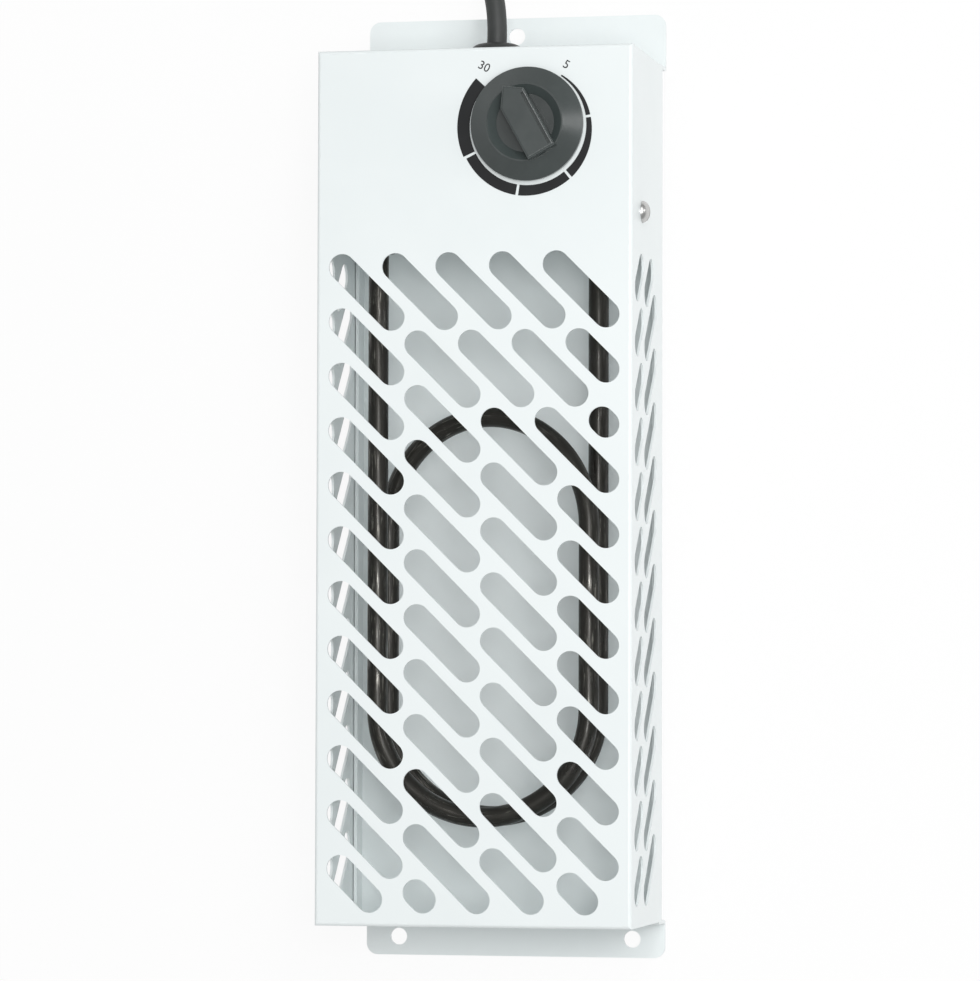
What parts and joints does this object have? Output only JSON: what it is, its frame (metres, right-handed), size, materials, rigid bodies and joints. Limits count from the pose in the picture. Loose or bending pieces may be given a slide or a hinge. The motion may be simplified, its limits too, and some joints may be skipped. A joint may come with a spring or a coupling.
{
  "type": "frost protection heater",
  "caption": "Slim wall heater: slotted white steel cover over a bent black tubular element, thermostat knob in a tapering scale, back plate with ears and a coiled mains cord.",
  "frame": {"origin": "midway between the back plate's two ears, in the plane of their rear faces, which lie on the surface (the wall when it is hung)", "axes": "+X to the right of the front, +Y towards the end that the cord leaves, +Z out of the front"},
  "size_m": [0.1564, 0.4874, 0.0854],
  "materials": {
    "white_enamel": "smooth white powder coat, slightly glossy",
    "galvanised_steel": "zinc plated",
    "screw_steel": "bright plated screws",
    "element_steel": "black oxidised tube",
    "brass": "turned brass",
    "ceramic": "unglazed steatite",
    "brown_plastic": "moulded phenolic",
    "knob_plastic": "dark grey moulded plastic",
    "scale_print": "black screen print",
    "grommet_rubber": "black moulded rubber",
    "cord_rubber": "black rubber sheath",
    "clamp_plastic": "black nylon",
    "wire_brown": "brown insulation",
    "wire_blue": "blue insulation",
    "wire_green": "green and yellow insulation",
    "plug_rubber": "black moulded rubber",
    "plug_metal": "nickel plated"
  },
  "bodies": {
    "heater": {"back_plate": "white_enamel", "front_cover": "white_enamel", "control_partition": "white_enamel", "thermostat_plate": "galvanised_steel", "partition_rivets": "galvanised_steel", "element_washers": "galvanised_steel", "earth_stud": "galvanised_steel", "earth_nut": "galvanised_steel", "side_screws": "screw_steel", "thermostat_screws": "screw_steel", "clamp_screws": "screw_steel", "block_screw": "screw_steel", "terminal_screws": "screw_steel", "heating_element": "element_steel", "element_bushes": "element_steel", "element_nuts": "element_steel", "element_terminals": "brass", "thermostat_tabs": "brass", "element_insulators": "ceramic", "terminal_block": "ceramic", "thermostat_body": "brown_plastic", "dial_scale": "scale_print", "cable_grommet": "grommet_rubber", "supply_cord": "cord_rubber", "cord_coil": "cord_rubber", "inner_cable": "cord_rubber", "cable_clamp": "clamp_plastic", "cord_tie": "clamp_plastic", "wire_live": "wire_brown", "wire_thermostat": "wire_brown", "wire_element": "wire_brown", "wire_neutral": "wire_blue", "wire_return": "wire_blue", "wire_earth": "wire_green", "wire_bond": "wire_green", "plug_body": "plug_rubber", "plug_pins": "plug_metal", "plug_earth_clips": "plug_metal"},
    "knob": {"knob": "knob_plastic", "knob_spring": "galvanised_steel", "thermostat_shaft": "galvanised_steel"}
  },
  "joints": [
    {"name": "knob_turn", "type": "hinge", "parent": "heater", "child": "knob", "pos_m": [0.0189, 0.1197, 0.074], "axis": [0, 0, 1], "range_deg": [-157, 121]}
  ]
}
